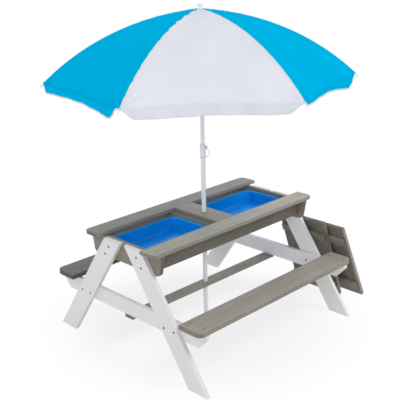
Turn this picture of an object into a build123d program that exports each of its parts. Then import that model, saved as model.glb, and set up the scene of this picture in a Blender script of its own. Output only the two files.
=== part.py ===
from build123d import *
from math import acos, asin, atan2, cos, degrees, hypot, radians, sin, sqrt
import os

os.makedirs("parts", exist_ok=True)

# The table stands on Z = 0 with its length along X, and the pole stands on the origin.

# Table top
top_length = 940.0
top_width = 418.0
top_height = 503.5
plank_width = 81.5
plank_thick = 15.0
plank_corner = 22.0
cross_width = 99.0
edge_ease = 2.0
pole_hole_gap = 0.8

# Aprons and dividers
frame_thick = 17.0
apron_depth = 85.5
apron_end_gap = 0.5
apron_taper = 16.5
apron_corner = 20.0
side_apron_depth = 66.5
side_apron_thick = 15.0
side_apron_inset = 32.0
divider_lip = 11.5

# Legs, rails and stretcher
leg_width = 81.5
leg_thick = 17.3
leg_inset = 19.0
leg_foot_reach = 398.6
leg_top_reach = 60.5
leg_corner = 8.0
rail_depth = 63.5
rail_end_inset = 0.5
rail_end_cut = 45.0
rail_end_drop = 15.0
stretcher_width = 47.0
stretcher_thick = 15.0

# Seats
seat_overhang = 14.75
seat_width = 112.0
seat_thick = 20.0
seat_height = 266.0
seat_leg_gap = 43.603
seat_corner = 28.0
seat_inner_corner = 6.0

# Fasteners
bolt_radius = 3.0
bolt_head_radius = 5.0
bolt_head_thick = 3.0
bolt_recess = 0.8
bolt_end_gap = 1.5
bolt_top_drop = 31.5
bolt_top_step = 36.0
bolt_rail_rise = 30.0
bolt_rail_reach = 27.0
screw_radius = 1.9
screw_head_radius = 4.2
screw_recess = 0.4
screw_length = 34.0
plank_screw_inset = 47.5
seat_screw_inset = 20.0
stretcher_screw_reach = 12.0
fit_gap = 0.1

# Bins and the ledges that carry them
bin_end_gap = 2.6
bin_side_gap = 5.0
bin_rim_drop = 15.5
bin_depth = 52.0
bin_wall = 2.0
bin_flange = 11.0
bin_corner = 22.0
bin_floor_fillet = 7.0
bin_draft = 7.0
bin_seat_gap = 0.2
ledge_thick = 9.0
ledge_depth = 18.0
ledge_length = 130.0

# Lids
lid_gap = 2.0
lid_width = 250.0
lid_thick = 15.0
lid_board_count = 3
lid_board_gap = 0.8
cleat_width = 33.0
cleat_thick = 13.0
cleat_inset = 6.0
cleat_foot_inset = 50.0
cleat_head_inset = 62.0
lid_rest_gap = 0.25
lid_foot_reach = 145.0
lid_foot_step = 67.0
inner_lid_middle = -166.0
outer_lid_middle = -245.0

# Umbrella pole
lower_tube_radius = 9.5
lower_tube_wall = 1.1
lower_tube_top = 790.0
tube_slide_gap = 0.4
upper_tube_wall = 1.0
tube_overlap = 233.0
slide_gap = 0.08
tube_gap = 0.05
foot_thick = 3.0
foot_depth = 20.0
collar_wall = 2.0
collar_grip = 54.0
collar_lip = 7.0
collar_round = 1.5
pin_azimuth = -45.0
pin_drop = 7.0
pin_radius = 2.0
pin_head_radius = 5.0
pin_head_gap = 3.5
pin_head_thick = 4.0
strap_width = 5.0
strap_thick = 1.4
strap_bulge = 15.5
strap_foot_rise = 5.0
strap_gap = 0.3

# Canopy: each rib runs along an arc of one circle in its own upright plane
gore_count = 6
rib_azimuth = 18.9
dome_radius = 1021.0
dome_inset = 69.8
dome_centre_height = 318.7
canopy_reach = 626.0
canopy_eye = 12.0
cloth_thick = 1.2
cloth_gap = 0.15
flap_depth = 46.0
flap_end_cut = 56.0
flap_end_gap = 4.0

# Ribs, struts and their hubs
rib_wire_radius = 2.0
rib_cover_gap = 0.8
rib_tip_wall = 1.4
rib_tip_length = 12.0
rib_tip_lead = 0.3
crown_drop = 9.418
crown_eye_radius = 5.0
eye_thick = 3.6
eye_radius = 3.6
pivot_pin_radius = 1.1
strut_joint_radius = 250.0
strut_eye_gap = 0.9
strut_wire_radius = 1.6
fork_wall = 1.4
fork_rim = 0.8
fork_root_round = 1.8
fork_side_gap = 0.4
fork_slot_gap = 0.5
hub_rim = 6.0
hub_side_gap = 0.5
hub_floor_wall = 2.4
hub_floor_gap = 0.6
crown_below = 10.0
crown_above = 6.5
runner_wall = 3.6
runner_below = 34.0
runner_above = 16.0
runner_collar_half = 7.0

# Finial
tube_end_gap = 1.0
finial_flange_lap = 2.0
finial_flange_thick = 1.6
finial_flare = 5.0
finial_neck_radius = 8.6
finial_head_radius = 9.6
finial_rise = 21.482
finial_head_share = 0.5
finial_plug_depth = 14.0
finial_lift = 0.5

cut_overrun = 5.0

# Heights and faces that follow from the sizes above
under_top = top_height - plank_thick
plank_inner = top_width / 2 - plank_width
plank_screw_reach = plank_inner + plank_screw_inset
leg_face = top_length / 2 - leg_inset
leg_inner_face = leg_face - leg_thick
apron_inner = leg_inner_face - frame_thick
apron_middle = leg_inner_face - frame_thick / 2
apron_reach = top_width / 2 - apron_end_gap
divider_face = cross_width / 2 + divider_lip
side_apron_face = top_width / 2 - side_apron_inset
side_apron_inner = side_apron_face - side_apron_thick
seat_under = seat_height - seat_thick
seat_length = 2 * (leg_face + seat_overhang)
rail_bottom = seat_under - rail_depth
stretcher_under = rail_bottom - stretcher_thick
bolt_top_height = under_top - bolt_top_drop
bolt_rail_height = rail_bottom + bolt_rail_rise
bin_length = apron_inner - divider_face - 2 * bin_end_gap
bin_width = 2 * (plank_inner - bin_side_gap)
bin_rim_height = under_top - bin_rim_drop
inner_lid_foot = leg_face + lid_foot_reach
outer_lid_foot = inner_lid_foot + lid_foot_step
pole_hole = lower_tube_radius + pole_hole_gap
upper_tube_radius = lower_tube_radius - lower_tube_wall - tube_slide_gap
upper_tube_bottom = lower_tube_top - tube_overlap
collar_radius = lower_tube_radius + collar_wall
collar_bottom = lower_tube_top - collar_grip
collar_top = lower_tube_top + collar_lip
pin_height = lower_tube_top - pin_drop
pin_head_reach = collar_radius + pin_head_gap
strap_reach = collar_radius + strap_bulge
strap_foot_height = collar_bottom + strap_foot_rise
crown_slot_floor = upper_tube_radius + hub_floor_wall
hub_pivot_radius = crown_slot_floor + hub_floor_gap + crown_eye_radius
hub_radius = hub_pivot_radius + hub_rim
hub_slot_width = eye_thick + 2 * hub_side_gap
runner_sleeve_radius = upper_tube_radius + runner_wall
strut_joint_drop = rib_wire_radius + eye_radius + strut_eye_gap
fork_slot = eye_thick + 2 * fork_side_gap
fork_thick = fork_slot + 2 * fork_wall
fork_round = eye_radius + fork_rim
rib_tip_radius = rib_wire_radius + rib_tip_wall
ends = {"left": -1, "right": 1}
sides = {"front": -1, "back": 1}


def save(piece, name):
    piece.part.label = name
    export_step(piece.part, f"parts/{name}.step")


def leg_middle(height):
    """Distance of a leg's middle line from the table's middle at a height."""
    return leg_foot_reach - (leg_foot_reach - leg_top_reach) * height / under_top


leg_half = leg_width / 2 * hypot(1, (leg_foot_reach - leg_top_reach) / under_top)
seat_inner = leg_middle(seat_under) + leg_half + seat_leg_gap
seat_middle = seat_inner + seat_width / 2
rail_end = seat_inner + seat_width - rail_end_inset


def bolt_places(side):
    """Places of one leg's bolts in Y and Z, the two at the apron and then the two at the rail."""
    low = bolt_top_height - bolt_top_step
    apron = [(side * leg_middle(height), height) for height in (bolt_top_height, low)]
    middle = leg_middle(bolt_rail_height)
    rail = [
        (side * (middle + step), bolt_rail_height)
        for step in (-bolt_rail_reach, bolt_rail_reach)
    ]
    return apron, rail


def facing_x(end, face, places):
    """Planes on the face at X = end * face that look outward along X, one at each place."""
    return [Plane(origin=(end * face, y, z), z_dir=(end, 0, 0)) for y, z in places]


def facing_in(end, face, places):
    """Planes on the same face that look back at the table's middle."""
    return [Plane(origin=(end * face, y, z), z_dir=(-end, 0, 0)) for y, z in places]


def cut_bolt_holes(planes, thick):
    """Counterbored holes for bolts or nuts, through a board from its planes."""
    with Locations(*planes):
        CounterBoreHole(
            radius=bolt_radius + fit_gap,
            counter_bore_radius=bolt_head_radius + fit_gap,
            counter_bore_depth=bolt_head_thick + bolt_recess,
            depth=thick,
        )


def cut_screw_holes(places, thick):
    """Countersunk screw holes, down through a board from its top."""
    with Locations(*places):
        CounterSinkHole(
            radius=screw_radius + fit_gap,
            counter_sink_radius=screw_head_radius + fit_gap,
            counter_sink_angle=90,
            depth=thick,
        )


def cut_pilot_holes(places, depth):
    """Plain holes that take the screws' shanks."""
    with Locations(*places):
        Hole(radius=screw_radius + fit_gap, depth=depth + bolt_end_gap)


plank_screws = [
    Plane(origin=(end * apron_middle, side * plank_screw_reach, top_height))
    for end in ends.values()
    for side in sides.values()
]
seat_screws = [
    Plane(origin=(end * apron_middle, side * (seat_middle + inset), seat_height))
    for end in ends.values()
    for side in sides.values()
    for inset in (seat_screw_inset - seat_width / 2, seat_width / 2 - seat_screw_inset)
]
stretcher_screws = [
    Plane(origin=(end * apron_middle, side * stretcher_screw_reach, stretcher_under), z_dir=(0, 0, -1))
    for end in ends.values()
    for side in sides.values()
]

# Long planks, with their outer corners rounded
for side_name, side in sides.items():
    with BuildPart() as top_plank:
        with BuildSketch(Plane(origin=(0, side * (plank_inner + plank_width / 2), under_top))):
            outline = Rectangle(top_length, plank_width)
            outer_corners = outline.vertices().group_by(Axis.Y)[-1 if side > 0 else 0]
            fillet(outer_corners, plank_corner)
        extrude(amount=plank_thick)
        fillet(top_plank.faces().filter_by(Axis.Z).edges(), edge_ease)
        cut_screw_holes([p for p in plank_screws if p.origin.Y * side > 0], plank_thick)
    save(top_plank, f"top_plank_{side_name}")

# Cross plank between the long planks, with the upper hole for the pole
with BuildPart() as cross_plank:
    with BuildSketch(Plane.XY.offset(under_top)):
        Rectangle(cross_width, 2 * plank_inner)
    extrude(amount=plank_thick)
    fillet(cross_plank.faces().filter_by(Axis.Z).edges(), edge_ease)
    with Locations(Plane.XY.offset(top_height)):
        Hole(radius=pole_hole)
save(cross_plank, "cross_plank")

# End aprons: their sides lean in towards their rounded lower corners
apron_bottom = under_top - apron_depth
for end_name, end in ends.items():
    bolts = [place for side in sides.values() for place in bolt_places(side)[0]]
    with BuildPart() as end_apron:
        with BuildSketch(Plane.YZ.offset(end * apron_middle)):
            with BuildLine():
                Polyline(
                    (-apron_reach, under_top),
                    (apron_reach, under_top),
                    (apron_reach - apron_taper, apron_bottom),
                    (apron_taper - apron_reach, apron_bottom),
                    close=True,
                )
            outline = make_face()
            fillet(outline.vertices().group_by(Axis.Y)[0], apron_corner)
        extrude(amount=frame_thick / 2, both=True)
        fillet(end_apron.faces().sort_by(Axis.X)[-1 if end > 0 else 0].edges(), edge_ease / 2)
        cut_bolt_holes(facing_in(end, apron_inner, bolts), frame_thick)
        cut_pilot_holes(
            [Plane(origin=(p.origin.X, p.origin.Y, under_top)) for p in plank_screws
             if p.origin.X * end > 0],
            screw_length - plank_thick,
        )
    save(end_apron, f"end_apron_{end_name}")

# Side aprons, between the end aprons
for side_name, side in sides.items():
    with BuildPart() as side_apron:
        with BuildSketch(Plane.XY.offset(under_top - side_apron_depth)):
            with Locations((0, side * (side_apron_face + side_apron_inner) / 2)):
                Rectangle(2 * apron_inner, side_apron_thick)
        extrude(amount=side_apron_depth)
        fillet(side_apron.edges().filter_by(Axis.X).group_by(Axis.Z)[0], edge_ease)
    save(side_apron, f"side_apron_{side_name}")

# Dividers: their top edges stick out past the cross plank and carry the lids
for end_name, end in ends.items():
    with BuildPart() as divider:
        with BuildSketch(Plane.XY.offset(under_top - side_apron_depth)):
            with Locations((end * (divider_face - frame_thick / 2), 0)):
                Rectangle(frame_thick, 2 * side_apron_inner)
        extrude(amount=side_apron_depth)
    save(divider, f"divider_{end_name}")

# Ledges under the ends of the bins' rims, on the end aprons and the dividers
ledge_top = bin_rim_height - bin_wall - bin_seat_gap
with BuildPart() as bin_ledges:
    with BuildSketch(Plane.XY.offset(ledge_top - ledge_depth)):
        for end in ends.values():
            for middle in (apron_inner - ledge_thick / 2, divider_face + ledge_thick / 2):
                with Locations((end * middle, 0)):
                    Rectangle(ledge_thick, ledge_length)
    extrude(amount=ledge_depth)
save(bin_ledges, "bin_ledges")

# Legs: boards that lean in towards the middle, cut level at both ends
for end_name, end in ends.items():
    for side_name, side in sides.items():
        apron_bolts, rail_bolts = bolt_places(side)
        with BuildPart() as leg:
            with BuildSketch(Plane.YZ.offset(end * (leg_face - leg_thick / 2))):
                with BuildLine():
                    Polyline(
                        (side * (leg_foot_reach - leg_half), 0),
                        (side * (leg_foot_reach + leg_half), 0),
                        (side * (leg_top_reach + leg_half), under_top),
                        (side * (leg_top_reach - leg_half), under_top),
                        close=True,
                    )
                outline = make_face()
                top_corners = outline.vertices().group_by(Axis.Y)[-1].sort_by(Axis.X)
                fillet(top_corners[-1 if side > 0 else 0], leg_corner)
            extrude(amount=leg_thick / 2, both=True)
            fillet(leg.faces().sort_by(Axis.X)[-1 if end > 0 else 0].edges(), edge_ease)
            cut_bolt_holes(facing_x(end, leg_face, apron_bolts + rail_bolts), leg_thick)
        save(leg, f"leg_{end_name}_{side_name}")

# Rails inside the legs, which carry the seats; their ends are cut back below
for end_name, end in ends.items():
    bolts = [place for side in sides.values() for place in bolt_places(side)[1]]
    with BuildPart() as rail:
        with BuildSketch(Plane.YZ.offset(end * apron_middle)):
            with BuildLine():
                Polyline(
                    (-rail_end, seat_under),
                    (rail_end, seat_under),
                    (rail_end, seat_under - rail_end_drop),
                    (rail_end - rail_end_cut, rail_bottom),
                    (rail_end_cut - rail_end, rail_bottom),
                    (-rail_end, seat_under - rail_end_drop),
                    close=True,
                )
            make_face()
        extrude(amount=frame_thick / 2, both=True)
        fillet(rail.faces().sort_by(Axis.X)[-1 if end > 0 else 0].edges(), edge_ease / 2)
        cut_bolt_holes(facing_in(end, apron_inner, bolts), frame_thick)
        cut_pilot_holes(
            [Plane(origin=(p.origin.X, p.origin.Y, seat_under)) for p in seat_screws
             if p.origin.X * end > 0],
            screw_length - seat_thick,
        )
        cut_pilot_holes(
            [Plane(origin=(p.origin.X, p.origin.Y, rail_bottom), z_dir=(0, 0, -1))
             for p in stretcher_screws if p.origin.X * end > 0],
            screw_length - stretcher_thick,
        )
    save(rail, f"rail_{end_name}")

# Seats, screwed down on the rails
for side_name, side in sides.items():
    with BuildPart() as seat:
        with BuildSketch(Plane(origin=(0, side * seat_middle, seat_under))):
            outline = Rectangle(seat_length, seat_width)
            corners = outline.vertices().group_by(Axis.Y)
            outer_corners = corners[-1 if side > 0 else 0]
            inner_corners = corners[0 if side > 0 else -1]
            fillet(outer_corners, seat_corner)
            fillet(inner_corners, seat_inner_corner)
        extrude(amount=seat_thick)
        fillet(seat.faces().filter_by(Axis.Z).edges(), edge_ease)
        cut_screw_holes([p for p in seat_screws if p.origin.Y * side > 0], seat_thick)
    save(seat, f"seat_{side_name}")

# Flat stretcher under both rails, with the lower hole for the pole
with BuildPart() as stretcher:
    with BuildSketch(Plane.XY.offset(stretcher_under)):
        Rectangle(2 * leg_inner_face, stretcher_width)
    extrude(amount=stretcher_thick)
    fillet(stretcher.edges().filter_by(Axis.X), edge_ease / 2)
    with Locations(Plane.XY.offset(rail_bottom)):
        Hole(radius=pole_hole)
    cut_screw_holes(stretcher_screws, stretcher_thick)
save(stretcher, "stretcher")

# Bolts through the legs with their sleeve nuts on the inner side
bolt_span = leg_face - apron_inner
bolt_length = bolt_span - 2 * bolt_recess - bolt_end_gap
nut_top = bolt_recess + bolt_head_thick
leg_bolt_places = [
    (end, place)
    for end in ends.values()
    for side in sides.values()
    for place in sum(bolt_places(side), [])
]
with BuildPart() as leg_bolts_and_nuts:
    for end, place in leg_bolt_places:
        with BuildSketch(*[p.offset(-nut_top) for p in facing_in(end, apron_inner, [place])]):
            Circle(bolt_head_radius)
            Circle(bolt_radius + fit_gap, mode=Mode.SUBTRACT)
        extrude(amount=bolt_head_thick)
        with Locations(*[p.offset(-bolt_recess) for p in facing_x(end, leg_face, [place])]):
            Cylinder(bolt_radius, bolt_length, align=(Align.CENTER, Align.CENTER, Align.MAX))
            Cylinder(
                bolt_head_radius, bolt_head_thick,
                align=(Align.CENTER, Align.CENTER, Align.MAX),
            )
save(leg_bolts_and_nuts, "leg_bolts_and_nuts")

# Countersunk wood screws in the planks, the seats and the stretcher
screw_head_depth = screw_head_radius - screw_recess - screw_radius
with BuildPart() as wood_screws:
    screw_places = plank_screws + seat_screws + stretcher_screws
    with Locations(*[plane.offset(-screw_recess) for plane in screw_places]):
        Cylinder(screw_radius, screw_length, align=(Align.CENTER, Align.CENTER, Align.MAX))
        Cone(
            screw_radius, screw_head_radius - screw_recess, screw_head_depth,
            align=(Align.CENTER, Align.CENTER, Align.MAX),
        )
save(wood_screws, "wood_screws")

# Bins: tapered trays that hang by a flange
bin_middle = (divider_face + apron_inner) / 2
for end_name, end in ends.items():
    rim_plane = Plane(origin=(end * bin_middle, 0, bin_rim_height))
    body_length = bin_length - 2 * bin_flange
    body_width = bin_width - 2 * bin_flange
    with BuildPart() as bin_tray:
        with BuildSketch(rim_plane):
            RectangleRounded(body_length, body_width, bin_corner)
        extrude(amount=-bin_depth, taper=bin_draft)
        fillet(bin_tray.faces().sort_by(Axis.Z)[0].edges(), bin_floor_fillet)
        with BuildSketch(rim_plane):
            RectangleRounded(bin_length, bin_width, bin_corner + bin_flange)
        extrude(amount=-bin_wall)
        with BuildSketch(rim_plane):
            RectangleRounded(
                body_length - 2 * bin_wall, body_width - 2 * bin_wall, bin_corner - bin_wall
            )
        extrude(amount=bin_wall - bin_depth, taper=bin_draft, mode=Mode.SUBTRACT)
        inner_floor = bin_tray.faces().filter_by(Axis.Z).sort_by(Axis.Z)[1]
        fillet(inner_floor.edges(), bin_floor_fillet - bin_wall)
    save(bin_tray, f"bin_{end_name}")

# Lids lean against the right-hand end: the inner one on the legs, the outer one on the inner
lid_length = top_length / 2 - cross_width / 2 - lid_gap
inner_lean = asin((inner_lid_foot - leg_face - lid_rest_gap) / lid_length)
# The top edge of the outer lid's upper cleat rests on the back of the inner lid
cleat_head = lid_length - cleat_head_inset
between_lids = (outer_lid_foot - inner_lid_foot) * cos(inner_lean) - lid_thick - lid_rest_gap
outer_lean = (
    inner_lean
    + asin(between_lids / hypot(cleat_head, cleat_thick))
    - atan2(cleat_thick, cleat_head)
)
lids = {
    "inner": (inner_lid_foot, inner_lid_middle, inner_lean),
    "outer": (outer_lid_foot, outer_lid_middle, outer_lean),
}
board_pitch = (lid_width + lid_board_gap) / lid_board_count
for lid_name, (foot, middle, lean) in lids.items():
    face = Plane(origin=(foot, middle, 0), x_dir=(0, 1, 0), z_dir=(cos(lean), 0, sin(lean)))
    with BuildPart() as lid_boards:
        with BuildSketch(face):
            with Locations((0, lid_length / 2)):
                with GridLocations(board_pitch, 0, lid_board_count, 1):
                    Rectangle(board_pitch - lid_board_gap, lid_length)
        extrude(amount=lid_thick)
    save(lid_boards, f"lid_{lid_name}_boards")
    with BuildPart() as lid_cleats:
        with BuildSketch(face):
            for height in (
                cleat_foot_inset + cleat_width / 2,
                lid_length - cleat_head_inset - cleat_width / 2,
            ):
                with Locations((0, height)):
                    Rectangle(lid_width - 2 * cleat_inset, cleat_width)
        extrude(amount=-cleat_thick)
        outward = Axis(face.origin, face.z_dir)
        fillet(lid_cleats.edges().filter_by(Axis.Y).group_by(outward)[0], edge_ease / 2)
    save(lid_cleats, f"lid_{lid_name}_cleats")

# Lower tube of the umbrella pole, with a hole for the pin and a plug in its foot
pin_direction = (cos(radians(pin_azimuth)), sin(radians(pin_azimuth)), 0)
pin_axis = Plane(origin=(0, 0, pin_height), x_dir=(0, 0, 1), z_dir=pin_direction)
with BuildPart() as lower_tube:
    with BuildSketch(Plane.XY.offset(foot_thick)):
        Circle(lower_tube_radius)
        Circle(lower_tube_radius - lower_tube_wall, mode=Mode.SUBTRACT)
    extrude(amount=lower_tube_top - foot_thick)
    with BuildSketch(pin_axis):
        Circle(pin_radius + slide_gap)
    extrude(amount=lower_tube_radius + cut_overrun, mode=Mode.SUBTRACT)
save(lower_tube, "lower_tube")
with BuildPart() as foot_plug:
    with BuildSketch():
        Circle(lower_tube_radius)
    extrude(amount=foot_thick)
    with BuildSketch(Plane.XY.offset(foot_thick)):
        Circle(lower_tube_radius - lower_tube_wall - tube_gap)
    extrude(amount=foot_depth)
save(foot_plug, "foot_plug")

# Collar on the lower tube's top, which guides the upper tube and holds the pin
with BuildPart() as collar:
    with BuildSketch(Plane.XY.offset(collar_bottom)):
        Circle(collar_radius)
    extrude(amount=collar_top - collar_bottom)
    fillet(collar.edges().filter_by(GeomType.CIRCLE), collar_round)
    with BuildSketch(Plane.XY.offset(collar_bottom)):
        Circle(lower_tube_radius + tube_gap)
    extrude(amount=lower_tube_top - collar_bottom, mode=Mode.SUBTRACT)
    with BuildSketch(Plane.XY.offset(collar_bottom)):
        Circle(upper_tube_radius + slide_gap)
    extrude(amount=collar_top - collar_bottom, mode=Mode.SUBTRACT)
    with BuildSketch(pin_axis):
        Circle(pin_radius + slide_gap)
    extrude(amount=collar_radius + cut_overrun, mode=Mode.SUBTRACT)
save(collar, "collar")


def radial_plane(azimuth):
    """Upright plane through the pole: local X runs outward and local Y runs up."""
    turn = radians(azimuth)
    return Plane(origin=(0, 0, 0), x_dir=(cos(turn), sin(turn), 0), z_dir=(sin(turn), -cos(turn), 0))


def radial_point(azimuth, radius, height):
    turn = radians(azimuth)
    return (radius * cos(turn), radius * sin(turn), height)


def sideways(azimuth, length):
    """Level vector square to the azimuth, towards larger azimuths."""
    turn = radians(azimuth)
    return (-length * sin(turn), length * cos(turn), 0)


def disc(plane, place, radius, thick, mode=Mode.ADD):
    """Flat disc centred on a place in the plane."""
    with BuildSketch(plane) as outline:
        with Locations(place):
            Circle(radius)
    extrude(outline.sketch, amount=thick / 2, both=True, mode=mode)


# Strap: a ring on the collar and an eye around the pin's shank, joined by a loop
strap_middle = collar_radius + tube_gap + strap_thick / 2
eye_middle = collar_radius + strap_gap + strap_thick / 2
strap_round = pin_radius + strap_gap + strap_thick
strap_drop = pin_head_radius + strap_gap + strap_thick
with BuildPart() as pin_strap:
    with BuildSketch(Plane.XY.offset(strap_foot_height - strap_width / 2)):
        Circle(strap_middle + strap_thick / 2)
        Circle(strap_middle - strap_thick / 2, mode=Mode.SUBTRACT)
    extrude(amount=strap_width)
    with BuildLine(radial_plane(pin_azimuth)) as loop:
        ThreePointArc(
            (strap_middle, strap_foot_height),
            (strap_reach, (strap_foot_height + pin_height) / 2),
            (eye_middle, pin_height - strap_drop),
        )
    with BuildSketch(Plane(loop.line @ 0, x_dir=sideways(pin_azimuth, 1), z_dir=loop.line % 0)):
        Rectangle(strap_width, strap_thick)
    sweep(path=loop.line)
    with BuildSketch(pin_axis.offset(eye_middle - strap_thick / 2)):
        Circle(strap_round)
        Rectangle(strap_drop, strap_width, align=(Align.MAX, Align.CENTER))
    extrude(amount=strap_thick)
    with BuildSketch(pin_axis):
        Circle(pin_radius + strap_gap)
    extrude(amount=eye_middle + strap_thick, mode=Mode.SUBTRACT)
    with BuildSketch(Plane.XY.offset(collar_bottom)):
        Circle(collar_radius + tube_gap)
    extrude(amount=collar_top - collar_bottom, mode=Mode.SUBTRACT)
save(pin_strap, "pin_strap")

# Lock pin: its tip bears on the upper tube
pin_tip = upper_tube_radius + slide_gap
with BuildPart() as lock_pin:
    with BuildSketch(pin_axis.offset(pin_tip)):
        Circle(pin_radius)
    extrude(amount=pin_head_reach - pin_tip)
    with BuildSketch(pin_axis.offset(pin_head_reach)):
        Circle(pin_head_radius)
    extrude(amount=pin_head_thick)
    fillet(lock_pin.faces().sort_by(Axis((0, 0, 0), pin_direction))[-1].edges(), collar_round)
save(lock_pin, "lock_pin")

# Angles and heights on the canopy's arc, which each rib follows a little further in
arc_eye = degrees(acos((canopy_eye + dome_inset) / dome_radius))
arc_tip = degrees(acos((canopy_reach + dome_inset) / dome_radius))
eye_height = dome_centre_height + dome_radius * sin(radians(arc_eye))
tip_height = dome_centre_height + dome_radius * sin(radians(arc_tip))
wire_arc_radius = dome_radius - cloth_thick - rib_cover_gap - rib_wire_radius
crown_pivot_height = eye_height - crown_drop
crown_bottom = crown_pivot_height - crown_below
crown_top = crown_pivot_height + crown_above


def wire_place(radius):
    """Place of a rib's wire in its own upright plane."""
    rise = sqrt(wire_arc_radius**2 - (radius + dome_inset) ** 2)
    return (radius, dome_centre_height + rise)


strut_joint = (strut_joint_radius, wire_place(strut_joint_radius)[1] - strut_joint_drop)
runner_pivot_height = 2 * strut_joint[1] - crown_pivot_height
crown_pivot = (hub_pivot_radius, crown_pivot_height)
runner_pivot = (hub_pivot_radius, runner_pivot_height)
rib_azimuths = [rib_azimuth + index * 360 / gore_count for index in range(gore_count)]

# Upper tube of the pole and the finial in its end, above the cloth
flange_bottom = eye_height + finial_lift
upper_tube_top = flange_bottom - tube_end_gap
with BuildPart() as upper_tube:
    with BuildSketch(Plane.XY.offset(upper_tube_bottom)):
        Circle(upper_tube_radius)
        Circle(upper_tube_radius - upper_tube_wall, mode=Mode.SUBTRACT)
    extrude(amount=upper_tube_top - upper_tube_bottom)
save(upper_tube, "upper_tube")
flange_top = flange_bottom + finial_flange_thick
finial_flange_radius = canopy_eye + finial_flange_lap
finial_height = flange_top + finial_rise
neck_bottom = flange_top + finial_flare
head_middle = finial_height - finial_head_share * (finial_height - flange_top)
with BuildPart() as finial:
    with BuildSketch(Plane.XZ):
        with BuildLine():
            Polyline(
                (0, finial_height),
                (0, upper_tube_top - finial_plug_depth),
                (upper_tube_radius - upper_tube_wall - tube_gap, upper_tube_top - finial_plug_depth),
                (upper_tube_radius - upper_tube_wall - tube_gap, flange_bottom),
                (finial_flange_radius, flange_bottom),
                (finial_flange_radius, flange_top),
            )
            Spline(
                (finial_flange_radius, flange_top),
                (finial_neck_radius, neck_bottom),
                tangents=((-1, 0), (0, 1)),
            )
            Spline(
                (finial_neck_radius, neck_bottom),
                (finial_head_radius, head_middle),
                (0, finial_height),
                tangents=((0, 1), (-1, 0)),
            )
        make_face()
    revolve(axis=Axis.Z)
save(finial, "finial")

# Crown: a slotted disc on the upper tube, with a pin across each slot
with BuildPart() as crown:
    with BuildSketch(Plane.XY.offset(crown_bottom)):
        Circle(hub_radius)
    extrude(amount=crown_top - crown_bottom)
    fillet(crown.edges().filter_by(GeomType.CIRCLE), edge_ease / 2)
    with BuildSketch(Plane.XY.offset(crown_bottom)):
        Circle(upper_tube_radius + tube_gap)
    extrude(amount=crown_top - crown_bottom, mode=Mode.SUBTRACT)
    with BuildSketch(Plane.XY.offset(crown_bottom)):
        with PolarLocations(crown_slot_floor, gore_count, start_angle=rib_azimuth):
            Rectangle(hub_radius, hub_slot_width, align=(Align.MIN, Align.CENTER))
    extrude(amount=crown_top - crown_bottom, mode=Mode.SUBTRACT)
    for azimuth in rib_azimuths:
        disc(radial_plane(azimuth), crown_pivot, pivot_pin_radius, hub_slot_width + fork_thick)
save(crown, "crown")

# Runner on the upper tube: the inner ends of the struts sit in its open slots
with BuildPart() as runner:
    with BuildSketch(Plane.XY.offset(runner_pivot_height - runner_below)):
        Circle(runner_sleeve_radius)
    extrude(amount=runner_below + runner_above)
    fillet(runner.edges().filter_by(GeomType.CIRCLE), collar_round)
    with BuildSketch(Plane.XY.offset(runner_pivot_height - runner_collar_half)):
        Circle(hub_radius)
        with PolarLocations(runner_sleeve_radius, gore_count, start_angle=rib_azimuth):
            Rectangle(
                hub_radius, hub_slot_width, align=(Align.MIN, Align.CENTER), mode=Mode.SUBTRACT
            )
    extrude(amount=2 * runner_collar_half)
    with BuildSketch(Plane.XY.offset(runner_pivot_height - runner_below)):
        Circle(upper_tube_radius + slide_gap)
    extrude(amount=runner_below + runner_above, mode=Mode.SUBTRACT)
save(runner, "runner")

# Ribs: an arched wire with an eye at the crown, a fork for the strut and a tip cap
bore_radius = pivot_pin_radius + slide_gap
wire_start = degrees(acos((hub_pivot_radius + dome_inset) / wire_arc_radius))
for index, azimuth in enumerate(rib_azimuths):
    plane = radial_plane(azimuth)
    with BuildPart() as rib:
        with BuildSketch(plane):
            with Locations(strut_joint):
                Circle(fork_round)
            with Locations(wire_place(strut_joint_radius)):
                Circle(fork_root_round)
            make_hull()
        extrude(amount=fork_thick / 2, both=True)
        disc(plane, strut_joint, fork_round + fork_slot_gap, fork_slot, Mode.SUBTRACT)
        disc(plane, strut_joint, pivot_pin_radius, fork_thick)
        with BuildSketch(plane):
            with Locations(crown_pivot):
                Circle(crown_eye_radius)
            with Locations(wire_place(hub_radius)):
                Circle(rib_wire_radius)
            make_hull()
        extrude(amount=eye_thick / 2, both=True)
        with BuildLine(plane) as wire:
            CenterArc(
                (-dome_inset, dome_centre_height), wire_arc_radius, wire_start,
                arc_tip - rib_tip_lead - wire_start,
            )
        with BuildSketch(Plane(wire.line @ 0, z_dir=wire.line % 0)):
            Circle(rib_wire_radius)
        sweep(path=wire.line)
        tip_plane = Plane(wire.line @ 1, z_dir=wire.line % 1)
        with BuildSketch(tip_plane):
            Circle(rib_tip_radius)
        extrude(amount=rib_tip_length)
        cap_end = rib.faces().sort_by_distance(tip_plane.offset(rib_tip_length).origin)[0]
        fillet(cap_end.edges(), collar_round)
        disc(plane, crown_pivot, bore_radius, eye_thick, Mode.SUBTRACT)
    save(rib, f"rib_{index + 1}")

# Struts: straight wires with an eye at both ends
strut_reach = strut_joint[0] - runner_pivot[0]
strut_rise = strut_joint[1] - runner_pivot[1]
for index, azimuth in enumerate(rib_azimuths):
    plane = radial_plane(azimuth)
    with BuildPart() as strut:
        start = radial_point(azimuth, *runner_pivot)
        direction = radial_point(azimuth, strut_reach, strut_rise)
        with BuildSketch(Plane(start, z_dir=direction)):
            Circle(strut_wire_radius)
        extrude(amount=hypot(strut_reach, strut_rise))
        for place in (runner_pivot, strut_joint):
            disc(plane, place, eye_radius, eye_thick)
        for place in (runner_pivot, strut_joint):
            disc(plane, place, bore_radius, eye_thick, Mode.SUBTRACT)
    save(strut, f"strut_{index + 1}")

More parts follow.
